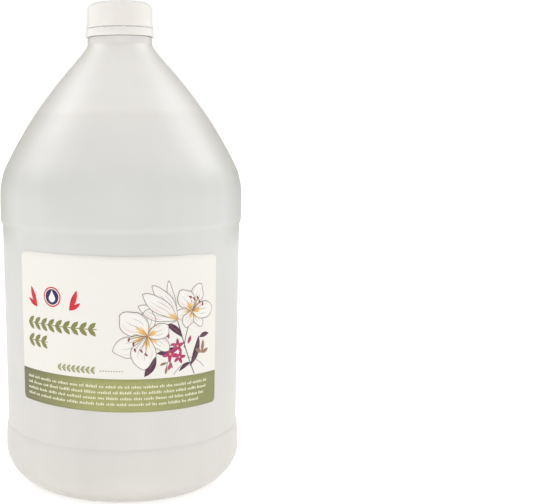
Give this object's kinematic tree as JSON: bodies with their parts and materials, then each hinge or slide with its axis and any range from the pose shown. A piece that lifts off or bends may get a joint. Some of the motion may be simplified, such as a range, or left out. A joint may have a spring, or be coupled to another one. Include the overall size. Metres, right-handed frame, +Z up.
{
  "type": "gallon oil jug",
  "caption": "Round translucent plastic jug of massage oil with a front label, a narrow threaded neck and a tamper-evident screw cap.",
  "frame": {"origin": "centre of the standing ring under the base, on the ground", "axes": "+Z up along the bottle's axis, -Y towards the front, where the label is, +X to the right seen from the front"},
  "size_m": [0.1524, 0.1524, 0.2994],
  "materials": {
    "milky_plastic": "satin",
    "oil": "gloss",
    "label_film": "satin",
    "foil": "satin",
    "liner_foam": "matte",
    "cap_plastic": "satin"
  },
  "bodies": {
    "bottle": {"bottle_body": "milky_plastic", "oil_fill": "oil", "front_label": "label_film", "foil_seal": "foil"},
    "liner": {"cap_liner": "liner_foam"},
    "cap": {"screw_cap": "cap_plastic"},
    "band": {"tamper_band": "cap_plastic"}
  },
  "joints": [
    {"name": "liner_lift", "type": "slide", "parent": "bottle", "child": "liner", "axis": [0, 0, 1], "range_m": [0, 0.01694]},
    {"name": "cap_turn", "type": "hinge", "parent": "liner", "child": "cap", "pos_m": [0, 0, 0.2915], "axis": [0, 0, 1], "range_deg": [0, 1440]},
    {"name": "band_spin", "type": "hinge", "parent": "bottle", "child": "band", "pos_m": [0, 0, 0.2805], "axis": [0, 0, 1], "continuous": true}
  ],
  "couplings": [
    {"joint": "liner_lift", "follows": "cap_turn", "m_per_rad": 0.00067376}
  ]
}
